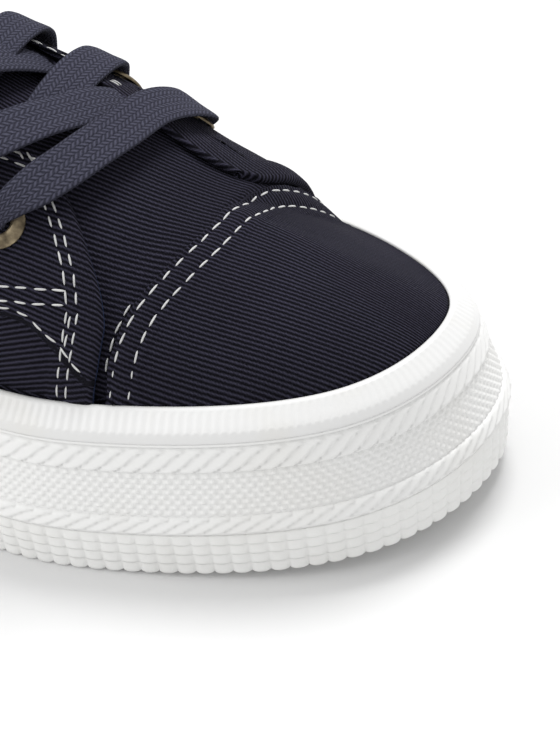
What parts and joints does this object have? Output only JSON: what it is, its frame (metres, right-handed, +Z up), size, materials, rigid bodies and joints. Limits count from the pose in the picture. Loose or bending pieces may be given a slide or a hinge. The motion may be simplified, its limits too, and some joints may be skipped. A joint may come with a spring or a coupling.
{
  "type": "canvas sneaker",
  "caption": "Low right-foot canvas lace-up sneaker with a toe cap seam, open-throat quarters and a white textured platform rubber sole.",
  "frame": {"origin": "centre of the shoe's footprint box, on the floor under the sole", "axes": "+X towards the toe, +Y towards the inner side of the foot, +Z up"},
  "size_m": [0.2703, 0.0993, 0.1121],
  "materials": {
    "outsole_rubber": "matt white moulded rubber with rounded studs on its side",
    "midsole_rubber": "satin white rubber with rope and pip bands",
    "foxing_rubber": "satin white rubber strip, fine ribs along its top",
    "canvas": "navy cotton twill, off-white stitching",
    "lining": "plain woven navy lining",
    "footbed_fabric": "plain woven fabric over foam",
    "lace_cotton": "flat woven cotton lace, navy",
    "eyelet_metal": "aged brass, brushed"
  },
  "bodies": {
    "root": {"outsole": "outsole_rubber", "midsole": "midsole_rubber", "foxing_strip": "foxing_rubber", "insole": "footbed_fabric", "upper": "lining", "tongue": "canvas", "quarter_outer": "canvas", "quarter_inner": "canvas", "toe_cap": "canvas", "heel_strip": "canvas", "eyelet_outer_1": "eyelet_metal", "eyelet_inner_1": "eyelet_metal", "eyelet_outer_2": "eyelet_metal", "eyelet_inner_2": "eyelet_metal", "eyelet_outer_3": "eyelet_metal", "eyelet_inner_3": "eyelet_metal", "eyelet_outer_4": "eyelet_metal", "eyelet_inner_4": "eyelet_metal", "eyelet_outer_5": "eyelet_metal", "eyelet_inner_5": "eyelet_metal", "lace_bar": "lace_cotton", "lace_cross_1": "lace_cotton", "lace_cross_2": "lace_cotton", "lace_cross_3": "lace_cotton", "lace_cross_4": "lace_cotton"}
  },
  "joints": []
}
